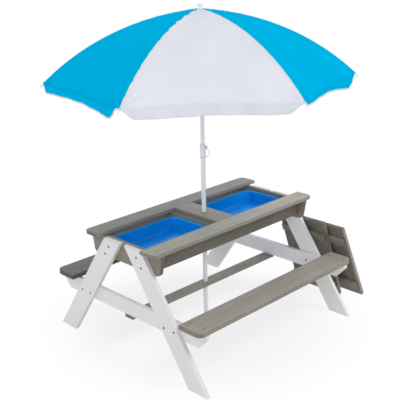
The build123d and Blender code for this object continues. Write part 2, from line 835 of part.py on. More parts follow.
# Cloth: each rib carries half of the gore on its left and half of the one on its right
half_gore = 180 / gore_count
flat_share = cos(radians(half_gore))
flap_face = canopy_reach * flat_share
half_chord = canopy_reach * sin(radians(half_gore))
flap_start = half_chord - flap_end_gap
lining_radius = dome_radius - cloth_thick
lining_end = degrees(acos(((flap_face - cloth_thick) / flat_share + dome_inset) / lining_radius))
cut_share = 1 + cut_overrun / flap_depth
for index, azimuth in enumerate(rib_azimuths):
    for side_name, side in {"right": -1, "left": 1}.items():
        middle = azimuth + side * half_gore
        middle_plane = radial_plane(middle).offset(side * cloth_gap)
        seam_plane = Plane(
            sideways(azimuth, side * cloth_gap),
            x_dir=radial_point(azimuth, 1, 0),
            z_dir=sideways(azimuth, side),
        )
        flap_plane = Plane(
            radial_point(middle, flap_face, tip_height),
            x_dir=sideways(middle, -side),
            z_dir=radial_point(middle, -side, 0),
        )
        with BuildPart() as cloth:
            with BuildSketch(middle_plane):
                with BuildLine():
                    outside = EllipticalCenterArc(
                        (-dome_inset * flat_share, dome_centre_height),
                        dome_radius * flat_share, dome_radius,
                        arc_tip, arc_size=arc_eye - arc_tip,
                    )
                    inside = EllipticalCenterArc(
                        (-dome_inset * flat_share, dome_centre_height),
                        lining_radius * flat_share, lining_radius,
                        lining_end, arc_size=arc_eye - lining_end,
                    )
                    Line(outside @ 1, inside @ 1)
                    Polyline(
                        outside @ 0,
                        (flap_face, tip_height - flap_depth),
                        (flap_face - cloth_thick, tip_height - flap_depth),
                        inside @ 0,
                    )
                make_face()
            extrude(amount=side * half_chord)
            split(bisect_by=seam_plane, keep=Keep.TOP)
            with BuildSketch(flap_plane):
                with BuildLine():
                    Polyline(
                        (flap_start, 0),
                        (flap_start - cut_share * flap_end_cut, -cut_share * flap_depth),
                        (half_chord + cut_overrun, -cut_share * flap_depth),
                        (half_chord + cut_overrun, 0),
                        close=True,
                    )
                make_face()
            extrude(amount=cut_overrun, both=True, mode=Mode.SUBTRACT)
        save(cloth, f"cloth_{index + 1}_{side_name}")
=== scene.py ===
import math

import bpy
import numpy as np
from mathutils import Matrix, Vector


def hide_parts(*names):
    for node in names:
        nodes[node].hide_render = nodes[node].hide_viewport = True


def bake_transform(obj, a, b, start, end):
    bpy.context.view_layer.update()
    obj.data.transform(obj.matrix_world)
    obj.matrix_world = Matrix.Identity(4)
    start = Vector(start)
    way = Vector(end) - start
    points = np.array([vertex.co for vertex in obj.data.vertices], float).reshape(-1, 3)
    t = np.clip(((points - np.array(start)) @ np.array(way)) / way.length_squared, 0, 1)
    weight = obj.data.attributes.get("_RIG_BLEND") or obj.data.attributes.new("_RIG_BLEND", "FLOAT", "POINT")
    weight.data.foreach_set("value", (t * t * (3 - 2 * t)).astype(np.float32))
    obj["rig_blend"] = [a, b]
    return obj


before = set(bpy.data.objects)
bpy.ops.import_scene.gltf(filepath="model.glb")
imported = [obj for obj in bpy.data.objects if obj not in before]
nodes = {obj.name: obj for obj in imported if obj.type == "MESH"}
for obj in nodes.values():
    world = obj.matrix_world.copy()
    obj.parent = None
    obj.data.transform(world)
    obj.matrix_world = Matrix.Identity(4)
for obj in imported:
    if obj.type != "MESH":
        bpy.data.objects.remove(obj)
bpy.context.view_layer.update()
print("frame loaded:", len(nodes), "nodes")


# Shader helpers

# A node with its settings; each value is a number, a colour or a socket to link
def put(tree, kind, values=(), **settings):
    node = tree.nodes.new("ShaderNode" + kind)
    for key, value in settings.items():
        setattr(node, key, value)
    for key, value in dict(values).items():
        if isinstance(value, bpy.types.NodeSocket):
            tree.links.new(value, node.inputs[key])
        else:
            node.inputs[key].default_value = value
    return node


def calc(tree, operation, *values, clamp=False):
    return put(tree, "Math", enumerate(values), operation=operation, use_clamp=clamp).outputs[0]


# A smooth step from 0 at low to 1 at high; most of a noise lies between the two defaults
def remap(tree, value, low=0.3, high=0.7):
    values = {"Value": value, "From Min": low, "From Max": high}
    return put(tree, "MapRange", values, interpolation_type="SMOOTHSTEP").outputs[0]


def stretch(tree, vector, scale):
    return put(tree, "VectorMath", {0: vector, 1: scale}, operation="MULTIPLY").outputs[0]


def noise(tree, vector, scale, detail=3.0, roughness=0.55):
    place = stretch(tree, vector, scale)
    values = {"Vector": place, "Scale": 1.0, "Detail": detail, "Roughness": roughness}
    return put(tree, "TexNoise", values).outputs["Fac"]


def mixColour(tree, share, first, second):
    return put(tree, "Mix", {0: share, 6: first, 7: second}, data_type="RGBA").outputs[2]


def shade(tree, colour, value):
    return put(tree, "VectorMath", {0: colour, "Scale": value}, operation="SCALE").outputs[0]


def parts(tree, vector):
    return put(tree, "SeparateXYZ", {0: vector}).outputs


easedEdge = (0.985, 0.8)  # the normal's largest part where the mask below starts and is full


# The sizes of the normal's three parts, and a mask of the eased edges, where none is near 1
def edgeMask(tree, normal):
    facing = [calc(tree, "ABSOLUTE", part) for part in parts(tree, normal)]
    flattest = calc(tree, "MAXIMUM", calc(tree, "MAXIMUM", facing[0], facing[1]), facing[2])
    return facing, remap(tree, flattest, *easedEdge)


# A mask of round knots in the middles of some of the cells
def knotMask(tree, vector, look):
    cells = put(tree, "TexVoronoi", {"Vector": stretch(tree, vector, look["knot"]), "Scale": 1.0})
    chosen = calc(tree, "GREATER_THAN", parts(tree, cells.outputs["Color"])[0], look["knotless"])
    spot = remap(tree, cells.outputs["Distance"], *look["knotSize"])
    return calc(tree, "MULTIPLY", spot, chosen)


# A mask of the rays that show a background: straight, mirrored or through glass
def seenRays(tree):
    path = put(tree, "LightPath").outputs
    seen = calc(tree, "MAXIMUM", path["Is Camera Ray"], path["Is Glossy Ray"])
    return calc(tree, "MAXIMUM", seen, path["Is Transmission Ray"])


# A group with its named inputs: colours, vectors and plain numbers
def startGroup(name, inputs):
    group = bpy.data.node_groups.new(name, "ShaderNodeTree")
    for label, kind in inputs:
        group.interface.new_socket(name=label, in_out="INPUT", socket_type="NodeSocket" + kind)
    for label, kind in (("Colour", "Color"), ("Roughness", "Float"), ("Height", "Float")):
        group.interface.new_socket(name=label, in_out="OUTPUT", socket_type="NodeSocket" + kind)
    into = group.nodes.new("NodeGroupInput").outputs
    out = group.nodes.new("NodeGroupOutput").inputs
    return group, into, lambda label, socket: group.links.new(socket, out[label])


# Finish groups. A pattern's scale is in cells per metre along, across and through the piece, and a
# range holds the two values of a pattern between which its mask goes from 0 to 1.

boardLook = {
    "bend": (3.0, 14.0, 14.0), "bendReach": (0.0, 0.011, 0.011), "fibre": (11.0, 520.0, 520.0),
    "streak": (3.0, 95.0, 95.0), "blotch": (4.0, 16.0, 16.0), "ring": (1.1, 17.0, 9.0),
    "ringShape": {"Scale": 1.6, "Distortion": 5.0, "Detail": 2.0, "Detail Scale": 1.1},
    "endFibre": (60.0, 260.0, 90.0),
    "knot": (4.2, 13.0, 13.0), "knotSize": (0.11, 0.05), "knotless": 0.8,
    "fibreRange": (0.3, 0.72), "streakRange": (0.32, 0.68), "endFibreRange": (0.35, 0.65),
    # How squarely a face is turned to the side or to the end
    "sideRange": (0.6, 0.95), "endRange": (0.75, 0.95),
    # How far each takes the colour from light to dark
    "fibreTone": 0.42, "streakTone": 0.26, "blotchTone": 0.16, "figureTone": 0.4,
    "knotCover": 0.7, "knotShade": 0.45, "endCover": 0.8, "endShade": 0.85,
    # Share of the edge that is worn: everywhere, more in blotches, more in streaks
    "wear": 0.4, "blotchWear": 0.35, "streakWear": 0.25,
    "roughness": 0.46, "fibreRoughness": 0.16,
    "fibreHeight": -0.6, "figureHeight": -0.35, "knotHeight": -0.5,
}


# Stained board: long fibres, flat-sawn figure, blotches, knots and end grain, with the long sides
# made lighter or darker by a factor, on some boards as painted light and shade, and the eased edges
# worn in patches. Place runs along the board in X, and Facing is the surface normal turned the same
# way.
def makeBoardGrain():
    look = boardLook
    tree, into, give = startGroup("boardGrain", [
        ("Place", "Vector"), ("Facing", "Vector"), ("Light", "Color"), ("Dark", "Color"),
        ("End", "Color"), ("Worn", "Color"), ("Side", "Float"), ("Figure", "Float"),
    ])
    place = into["Place"]
    bend = put(tree, "TexNoise", {"Vector": stretch(tree, place, look["bend"]), "Scale": 1.0})
    bent = put(tree, "VectorMath", {0: bend.outputs["Color"], 1: look["bendReach"], 2: place},
               operation="MULTIPLY_ADD").outputs[0]
    fibres = noise(tree, bent, look["fibre"], detail=5.0, roughness=0.7)
    fibres = remap(tree, fibres, *look["fibreRange"])
    streaks = remap(tree, noise(tree, bent, look["streak"]), *look["streakRange"])
    blotch = remap(tree, noise(tree, place, look["blotch"], detail=2.0))
    rings = put(tree, "TexWave", {
        "Vector": stretch(tree, bent, look["ring"]), **look["ringShape"],
    }, bands_direction="Y", wave_profile="SAW").outputs["Fac"]
    figure = calc(tree, "MULTIPLY", rings, into["Figure"])

    tone = calc(tree, "MULTIPLY_ADD", fibres, look["fibreTone"],
                calc(tree, "MULTIPLY", streaks, look["streakTone"]))
    tone = calc(tree, "ADD", tone, calc(tree, "MULTIPLY", blotch, look["blotchTone"]))
    tone = calc(tree, "MULTIPLY_ADD", figure, look["figureTone"], tone, clamp=True)
    colour = mixColour(tree, tone, into["Light"], into["Dark"])

    knot = knotMask(tree, bent, look)
    colour = mixColour(tree, calc(tree, "MULTIPLY", knot, look["knotCover"]), colour,
                       shade(tree, into["End"], look["knotShade"]))

    facing, edge = edgeMask(tree, into["Facing"])
    # The long sides are made lighter or darker, as painted light and shade on some boards and a plain tone
    # on others
    sideCut = remap(tree, facing[1], *look["sideRange"])
    colour = mixColour(tree, sideCut, colour, shade(tree, colour, into["Side"]))
    endCut = remap(tree, facing[0], *look["endRange"])
    endFibres = remap(tree, noise(tree, place, look["endFibre"]), *look["endFibreRange"])
    endColour = mixColour(tree, endFibres, into["End"], shade(tree, into["Dark"], look["endShade"]))
    colour = mixColour(tree, calc(tree, "MULTIPLY", endCut, look["endCover"]), colour, endColour)

    patches = calc(tree, "MULTIPLY_ADD", streaks, look["streakWear"], look["wear"])
    patches = calc(tree, "MULTIPLY_ADD", blotch, look["blotchWear"], patches)
    colour = mixColour(tree, calc(tree, "MULTIPLY", edge, patches), colour, into["Worn"])
    give("Colour", colour)
    give("Roughness", calc(tree, "MULTIPLY_ADD", fibres, look["fibreRoughness"], look["roughness"]))
    relief = calc(tree, "MULTIPLY_ADD", fibres, look["fibreHeight"],
                  calc(tree, "MULTIPLY", figure, look["figureHeight"]))
    give("Height", calc(tree, "MULTIPLY_ADD", knot, look["knotHeight"], relief))
    return tree


paintLook = {
    "fibre": (9.0, 420.0, 420.0), "brush": (2.0, 120.0, 120.0), "patch": (6.0, 14.0, 14.0),
    "knot": (5.0, 15.0, 15.0), "knotSize": (0.12, 0.04), "knotless": 0.85,
    "patchRange": (0.35, 0.7),
    # How thin the paint is, from 0 for full paint to 1 for none
    "edgeThin": 0.1, "edgeFibreThin": 0.25, "patchThin": 0.15, "knotThin": 0.14,
    "roughness": 0.3, "brushRoughness": 0.14, "fibreHeight": 0.45, "brushHeight": 0.5,
}


# Paint on wood: the fibres show faintly under it, with brush marks and thinner paint on the edges
def makeBrushedPaint():
    look = paintLook
    tree, into, give = startGroup("brushedPaint", [
        ("Place", "Vector"), ("Facing", "Vector"), ("Paint", "Color"), ("Worn", "Color"),
    ])
    place = into["Place"]
    fibres = remap(tree, noise(tree, place, look["fibre"], detail=4.0, roughness=0.65))
    brush = remap(tree, noise(tree, place, look["brush"], detail=2.0))
    patches = remap(tree, noise(tree, place, look["patch"], detail=2.0), *look["patchRange"])
    edge = edgeMask(tree, into["Facing"])[1]
    onEdge = calc(tree, "MULTIPLY_ADD", fibres, look["edgeFibreThin"], look["edgeThin"])
    thin = calc(tree, "MULTIPLY", edge, onEdge)
    inPatch = calc(tree, "MULTIPLY", calc(tree, "MULTIPLY", fibres, patches), look["patchThin"])
    thin = calc(tree, "ADD", thin, inPatch)
    knot = knotMask(tree, place, look)
    thin = calc(tree, "MULTIPLY_ADD", knot, look["knotThin"], thin, clamp=True)
    give("Colour", mixColour(tree, thin, into["Paint"], into["Worn"]))
    give("Roughness", calc(tree, "MULTIPLY_ADD", brush, look["brushRoughness"], look["roughness"]))
    give("Height", calc(tree, "MULTIPLY_ADD", fibres, look["fibreHeight"],
                        calc(tree, "MULTIPLY", brush, look["brushHeight"])))
    return tree


mouldLook = {
    "stipple": (1500.0,) * 3, "drift": (9.0,) * 3,
    "line": (30.0, 340.0, 60.0), "lineRange": (0.66, 0.8),
    "where": (14.0,) * 3, "whereRange": (0.5, 0.65),
    "body": 0.95, "driftTone": 0.09, "scuffCover": 0.3,
    "roughness": 0.27, "driftRoughness": 0.1, "scuffRoughness": 0.2,
}


# Moulded plastic: fine texture from the mould, slow drifts of tone and a few pale scuffs
def makeMouldedSkin():
    look = mouldLook
    tree, into, give = startGroup("mouldedSkin", [
        ("Place", "Vector"), ("Body", "Color"), ("Scuff", "Color"),
    ])
    place = into["Place"]
    drift = remap(tree, noise(tree, place, look["drift"], detail=2.0))
    lines = noise(tree, place, look["line"], detail=4.0, roughness=0.7)
    lines = remap(tree, lines, *look["lineRange"])
    where = remap(tree, noise(tree, place, look["where"], detail=1.0), *look["whereRange"])
    scuffs = calc(tree, "MULTIPLY", lines, where)
    tone = calc(tree, "MULTIPLY_ADD", drift, look["driftTone"], look["body"])
    give("Colour", mixColour(tree, calc(tree, "MULTIPLY", scuffs, look["scuffCover"]),
                             shade(tree, into["Body"], tone), into["Scuff"]))
    rough = calc(tree, "MULTIPLY_ADD", drift, look["driftRoughness"], look["roughness"])
    give("Roughness", calc(tree, "MULTIPLY_ADD", scuffs, look["scuffRoughness"], rough))
    give("Height", noise(tree, place, look["stipple"], detail=2.0))
    return tree


steelLook = {
    "ripple": (520.0,) * 3, "pit": (1900.0,) * 3, "rub": (900.0, 900.0, 45.0),
    "pitRange": (0.62, 0.75), "rubRange": (0.6, 0.75),
    "rubCover": 0.22, "roughness": 0.22, "rippleRoughness": 0.2, "pitHeight": -0.5,
}


# Plated or coated steel: the coat's ripple, tiny pits and fine rub marks
def makeCoatedSteel():
    look = steelLook
    tree, into, give = startGroup("coatedSteel", [
        ("Place", "Vector"), ("Coat", "Color"), ("Rubbed", "Color"),
    ])
    place = into["Place"]
    ripple = noise(tree, place, look["ripple"], detail=2.0)
    pits = remap(tree, noise(tree, place, look["pit"], detail=2.0), *look["pitRange"])
    rubs = remap(tree, noise(tree, place, look["rub"]), *look["rubRange"])
    rubbed = calc(tree, "MULTIPLY", rubs, look["rubCover"])
    give("Colour", mixColour(tree, rubbed, into["Coat"], into["Rubbed"]))
    rough = calc(tree, "MULTIPLY_ADD", ripple, look["rippleRoughness"], look["roughness"])
    give("Roughness", rough)
    give("Height", calc(tree, "MULTIPLY_ADD", pits, look["pitHeight"], ripple))
    return tree


clothLook = {
    "yarn": (900.0, 60.0, 1.0), "pull": (60.0, 900.0, 1.0), "soft": (6.0, 4.0, 1.0),
    # In radians per metre, across the threads and along a row of stitches
    "threadTurn": 5200.0, "stitchTurn": 2200.0, "stitchRange": (-0.5, 0.0),
    # Where the rows of stitches run beside a rib, and above and below the rim
    "ribStitch": 0.004, "rimStitches": (0.003, -0.004), "stitchWidth": (0.0007, 0.0003),
    # Where the cloth is double: up to this far above the rim, below it and beside a rib
    "hemTop": (0.010, 0.0085), "hemFoot": (-0.007, -0.0055), "seamEdge": (0.0085, 0.0065),
    "dye": 0.92, "yarnTone": 0.035, "pullTone": 0.035, "softTone": 0.05,
    "doubleTone": -0.045, "stitchTone": -0.08,
    "roughness": 0.62, "yarnRoughness": 0.12,
    "weaveHeight": 0.2, "yarnHeight": 0.15, "doubleHeight": 0.5, "stitchHeight": -0.6,
}


# Plain-woven cloth: crossing threads, uneven yarn, rows of stitches beside the ribs and along the
# rim. Threads is in metres across and down the gore, Seams is the distance from the rib and
# above the rim.
def makeWovenCloth():
    look = clothLook
    tree, into, give = startGroup("wovenCloth", [
        ("Threads", "Vector"), ("Seams", "Vector"), ("Dye", "Color"),
    ])
    across, down, _ = parts(tree, into["Threads"])
    fromRib, aboveRim, _ = parts(tree, into["Seams"])
    warp = calc(tree, "SINE", calc(tree, "MULTIPLY", across, look["threadTurn"]))
    weft = calc(tree, "SINE", calc(tree, "MULTIPLY", down, look["threadTurn"]))
    weave = calc(tree, "MULTIPLY", warp, weft)
    yarn = remap(tree, noise(tree, into["Threads"], look["yarn"]))
    pull = remap(tree, noise(tree, into["Threads"], look["pull"]))
    soft = remap(tree, noise(tree, into["Threads"], look["soft"], detail=2.0))

    def stitchRow(place, along, inset):
        off = calc(tree, "ABSOLUTE", calc(tree, "SUBTRACT", place, inset))
        dash = calc(tree, "SINE", calc(tree, "MULTIPLY", along, look["stitchTurn"]))
        thread = remap(tree, off, *look["stitchWidth"])
        return calc(tree, "MULTIPLY", thread, remap(tree, dash, *look["stitchRange"]))

    stitches = stitchRow(fromRib, down, look["ribStitch"])
    for inset in look["rimStitches"]:
        stitches = calc(tree, "MAXIMUM", stitches, stitchRow(aboveRim, across, inset))
    hem = calc(tree, "MULTIPLY", remap(tree, aboveRim, *look["hemTop"]),
               remap(tree, aboveRim, *look["hemFoot"]))
    double = calc(tree, "MAXIMUM", hem, remap(tree, fromRib, *look["seamEdge"]))

    light = calc(tree, "MULTIPLY_ADD", yarn, look["yarnTone"],
                 calc(tree, "MULTIPLY", pull, look["pullTone"]))
    body = calc(tree, "MULTIPLY_ADD", soft, look["softTone"], look["dye"])
    light = calc(tree, "ADD", light, body)
    light = calc(tree, "MULTIPLY_ADD", double, look["doubleTone"], light)
    light = calc(tree, "MULTIPLY_ADD", stitches, look["stitchTone"], light)
    give("Colour", shade(tree, into["Dye"], light))
    give("Roughness", calc(tree, "MULTIPLY_ADD", yarn, look["yarnRoughness"], look["roughness"]))
    height = calc(tree, "MULTIPLY_ADD", weave, look["weaveHeight"],
                  calc(tree, "MULTIPLY", yarn, look["yarnHeight"]))
    height = calc(tree, "MULTIPLY_ADD", double, look["doubleHeight"], height)
    give("Height", calc(tree, "MULTIPLY_ADD", stitches, look["stitchHeight"], height))
    return tree


boardGrain, brushedPaint = makeBoardGrain(), makeBrushedPaint()
mouldedSkin, coatedSteel, wovenCloth = makeMouldedSkin(), makeCoatedSteel(), makeWovenCloth()
print("finish groups made")


def blankMaterial(name):
    material = bpy.data.materials.new(name)
    material.use_nodes = True
    material.node_tree.nodes.clear()
    return material, material.node_tree


# A material round one group: its colour, roughness and height feed a Principled shader
def finishWith(name, group, values, relief, shader=()):
    material, tree = blankMaterial(name)
    worked = put(tree, "Group", values(tree), node_tree=group).outputs
    bump = put(tree, "Bump", {"Height": worked["Height"], "Distance": relief, "Strength": 1.0})
    surface = put(tree, "BsdfPrincipled", {
        "Base Color": worked["Colour"], "Roughness": worked["Roughness"],
        "Normal": bump.outputs[0], **dict(shader),
    })
    put(tree, "OutputMaterial", {"Surface": surface.outputs[0]})
    return material


# Object coordinates and normal turned so that X runs along the grain and Z out of the broad face
def boardPlace(tree, grain, face, offset):
    along, out = Vector(grain).normalized(), Vector(face).normalized()
    turn = Matrix((along, out.cross(along), out)).to_euler("XYZ")
    source = put(tree, "TexCoord").outputs
    place = put(tree, "Mapping", {"Vector": source["Object"], "Location": offset, "Rotation": turn})
    facing = put(tree, "Mapping", {"Vector": source["Normal"], "Rotation": turn})
    return {"Place": place.outputs[0], "Facing": facing.outputs[0]}


def objectPlace(tree):
    return {"Place": put(tree, "TexCoord").outputs["Object"]}


def dress(name, material):
    for place in nodes[name].material_slots:
        place.material = material


# Boards

wood = {
    "light": (0.402, 0.364, 0.304), "dark": (0.214, 0.187, 0.148),
    "end": (0.088, 0.066, 0.048), "worn": (0.175, 0.132, 0.098),
    "figure": 0.42, "relief": 0.0005,
    "cut": (1.73, 0.41, 0.29),  # how far the grain is moved from one board to the next
    # The lids' undersides are rougher, and painted darker as painted shade on their shaded faces and at
    # their cleats; their edges are worn pale
    "lidShadeDark": 0.42, "lidEnd": (0.37, 0.285, 0.21), "lidWorn": (0.50, 0.395, 0.30),
    "lidSide": 1.9, "lidFigure": 0.6,
    # How light each board is: partly how it took the stain, and partly painted light and shade. The
    # front plank and front seat are painted lighter where light falls on them; the back plank, the front
    # side apron under the planks' overhang, the back seat in the table's shade and the lids' shaded
    # undersides are painted darker.
    "tone": {
        "top_plank_front": 1.31, "top_plank_back": 0.77, "cross_plank": 0.91,
        "side_apron_front": 0.38, "side_apron_back": 1.0,
        "end_apron_left": 0.70, "end_apron_right": 0.74,
        "divider_left": 0.84, "divider_right": 0.84, "bin_ledges": 0.75,
        "seat_front": 1.24, "seat_back": 0.35, "stretcher": 0.92,
        "lid_inner_boards": 0.58, "lid_outer_boards": 0.61,
        "lid_inner_cleats": 0.72, "lid_outer_cleats": 0.72,
    },
    # How much lighter or darker its long sides are than its faces: painted shade on the front plank's
    # and the seats' sides, painted light on the back plank's
    "side": {"top_plank_front": 0.66, "seat_front": 0.66, "top_plank_back": 1.25, "seat_back": 0.8},
    "plainSide": 0.9,
}
# The far legs and rail, on the right, are painted lighter than the near ones: painted light on faces that
# stand in shade
paint = {
    "near": (0.76, 0.76, 0.768, 1.0), "far": (0.85, 0.84, 0.835, 1.0),
    "worn": (0.50, 0.47, 0.43, 1.0), "relief": 0.00025, "cut": (2.19, 0.37, 0.53),
}
lean = {"inner": 0.35471, "outer": 0.45292}  # each lid's, from upright, in radians
# How far the middles of a leg's foot and top are from the table's middle line, and its height
leg = {"footReach": 0.3986, "topReach": 0.0605, "height": 0.4885}


def lidGrain(angle):
    return (-math.sin(angle), 0.0, math.cos(angle)), (math.cos(angle), 0.0, math.sin(angle))


# The grain's direction and the broad face's, for each board
lengthwise, crosswise, upright = (1.0, 0.0, 0.0), (0.0, 1.0, 0.0), (0.0, 0.0, 1.0)
stainedBoards = {
    "top_plank_front": (lengthwise, upright), "top_plank_back": (lengthwise, upright),
    "cross_plank": (crosswise, upright),
    "side_apron_front": (lengthwise, crosswise), "side_apron_back": (lengthwise, crosswise),
    "end_apron_left": (crosswise, lengthwise), "end_apron_right": (crosswise, lengthwise),
    "divider_left": (crosswise, lengthwise), "divider_right": (crosswise, lengthwise),
    "bin_ledges": (crosswise, lengthwise),
    "seat_front": (lengthwise, upright), "seat_back": (lengthwise, upright),
    "stretcher": (lengthwise, upright),
    "lid_inner_boards": lidGrain(lean["inner"]), "lid_outer_boards": lidGrain(lean["outer"]),
    "lid_inner_cleats": (crosswise, lidGrain(lean["inner"])[1]),
    "lid_outer_cleats": (crosswise, lidGrain(lean["outer"])[1]),
}
legSlope = (leg["footReach"] - leg["topReach"]) / leg["height"]
paintedBoards = {
    f"leg_{end}_{side}": ((0.0, -way * legSlope, 1.0), lengthwise)
    for end in ("left", "right") for side, way in (("front", -1), ("back", 1))
}
paintedBoards.update({f"rail_{end}": (crosswise, lengthwise) for end in ("left", "right")})


def toned(colour, tone=1.0):
    return tuple(part * tone for part in colour) + (1.0,)


# Each board's colours are scaled by its tone, which holds painted light and shade as well as stain; on the
# lids the dark colour is painted darker still as painted shade
for count, (name, (grain, face)) in enumerate(stainedBoards.items()):
    offset, tone = tuple(part * count for part in wood["cut"]), wood["tone"][name]
    onLid = name.startswith("lid")
    dress(name, finishWith(f"{name}_stain", boardGrain, lambda tree: {
        **boardPlace(tree, grain, face, offset), "Light": toned(wood["light"], tone),
        "Dark": toned(wood["dark"], tone * (wood["lidShadeDark"] if onLid else 1.0)),
        "End": toned(wood["lidEnd" if onLid else "end"], tone),
        "Worn": toned(wood["lidWorn" if onLid else "worn"]),
        "Side": wood["lidSide"] if onLid else wood["side"].get(name, wood["plainSide"]),
        "Figure": wood["lidFigure" if onLid else "figure"],
    }, wood["relief"]))
# The far pieces take the lighter colour, which is painted light
for count, (name, (grain, face)) in enumerate(paintedBoards.items()):
    offset = tuple(part * count for part in paint["cut"])
    dress(name, finishWith(f"{name}_paint", brushedPaint, lambda tree: {
        **boardPlace(tree, grain, face, offset), "Worn": paint["worn"],
        "Paint": paint["far" if "right" in name else "near"],
    }, paint["relief"]))
print("boards stained and painted")

# Steel and plastic

steel = {
    "plated": (0.115, 0.096, 0.064, 1.0), "platedRub": (0.34, 0.30, 0.23, 1.0),
    "white": (0.91, 0.915, 0.92, 1.0), "whiteRub": (0.74, 0.74, 0.75, 1.0), "relief": 0.00012,
}
platedSteel = finishWith("platedSteel", coatedSteel, lambda tree: {
    **objectPlace(tree), "Coat": steel["plated"], "Rubbed": steel["platedRub"],
}, steel["relief"], {"Metallic": 0.5})
whiteSteel = finishWith("whiteSteel", coatedSteel, lambda tree: {
    **objectPlace(tree), "Coat": steel["white"], "Rubbed": steel["whiteRub"],
}, steel["relief"], {"Coat Weight": 0.15, "Coat Roughness": 0.2})
ribsAndStruts = [f"{kind}_{rib}" for kind in ("rib", "strut") for rib in range(1, 7)]
for name in ("leg_bolts_and_nuts", "wood_screws"):
    dress(name, platedSteel)
for name in ["lower_tube", "upper_tube"] + ribsAndStruts:
    dress(name, whiteSteel)

plastic = {
    "bin": (0.0, 0.285, 0.80, 1.0), "binScuff": (0.10, 0.32, 0.80, 1.0),
    # rim is the lighter blue of the painted highlight on the bin's upturned rim
    "rim": (0.010, 0.40, 0.92, 1.0), "rimHeight": 0.4715, "rimEdge": 0.0008,
    "white": (0.89, 0.89, 0.90, 1.0), "whiteScuff": (0.66, 0.66, 0.66, 1.0),
    "grey": (0.42, 0.425, 0.43, 1.0), "greyScuff": (0.4, 0.4, 0.4, 1.0), "relief": 0.00008,
}


# The bin's flat rim is painted a little lighter than its walls: a painted highlight on its upturned face
def binPlace(tree):
    place = put(tree, "TexCoord").outputs["Object"]
    rimHeight = plastic["rimHeight"]
    rimHighlight = remap(tree, parts(tree, place)[2], rimHeight - plastic["rimEdge"], rimHeight)
    body = mixColour(tree, rimHighlight, plastic["bin"], plastic["rim"])
    return {"Place": place, "Body": body, "Scuff": plastic["binScuff"]}


binPlastic = finishWith("binPlastic", mouldedSkin, binPlace, plastic["relief"],
                        {"Specular IOR Level": 0.25})
whitePlastic = finishWith("whitePlastic", mouldedSkin, lambda tree: {
    **objectPlace(tree), "Body": plastic["white"], "Scuff": plastic["whiteScuff"],
}, plastic["relief"])
greyPlastic = finishWith("greyPlastic", mouldedSkin, lambda tree: {
    **objectPlace(tree), "Body": plastic["grey"], "Scuff": plastic["greyScuff"],
}, plastic["relief"])
for name in ("bin_left", "bin_right"):
    dress(name, binPlastic)
for name in ("collar", "finial", "crown", "runner", "foot_plug"):
    dress(name, whitePlastic)
dress("lock_pin", greyPlastic)
print("steel and plastic finished")


# Meshes from arrays

def indexGrid(rows, columns, start=0):
    return np.arange(rows * columns).reshape(rows, columns) + start


# Quads between neighbouring rows and columns of an index grid
def quadsOf(grid):
    corners = (grid[:-1, :-1], grid[1:, :-1], grid[1:, 1:], grid[:-1, 1:])
    return np.stack([corner.ravel() for corner in corners], axis=1)


# A mesh object of points and faces, smooth up to the given angle
def addMesh(name, points, faces, material, sharpAngle=50.0):
    mesh = bpy.data.meshes.new(name)
    mesh.from_pydata(points.reshape(-1, 3).tolist(), [], [list(face) for face in faces])
    mesh.polygons.foreach_set("use_smooth", np.ones(len(mesh.polygons), bool))
    mesh.set_sharp_from_angle(angle=math.radians(sharpAngle))
    mesh.materials.append(material)
    piece = bpy.data.objects.new(name, mesh)
    bpy.context.scene.collection.objects.link(piece)
    return piece


# A UV map whose value at each corner is its vertex's pair of numbers
def addMap(piece, name, pairs):
    mesh = piece.data
    corners = np.zeros(len(mesh.loops), np.int32)
    mesh.loops.foreach_get("vertex_index", corners)
    layer = mesh.uv_layers.new(name=name)
    layer.data.foreach_set("uv", pairs[corners].astype(np.float32).ravel())


up = np.array((0.0, 0.0, 1.0))


# The level directions outwards at an angle and to the left of it
def compass(angle):
    c, s = math.cos(angle), math.sin(angle)
    return np.array((c, s, 0.0)), np.array((-s, c, 0.0))


def unit(vectors):
    return vectors / np.maximum(np.linalg.norm(vectors, axis=-1, keepdims=True), 1e-12)


def easeStep(share):
    share = np.clip(share, 0.0, 1.0)
    return share * share * (3.0 - 2.0 * share)


def waveOf(place, length, shift):
    return np.sin(2 * math.pi * place / length + shift)


# Angles all round a section
def roundOf(count):
    return np.linspace(0.0, 2 * math.pi, count, endpoint=False)


# Canopy: twelve half gores, each from a rib to the middle line of its gore

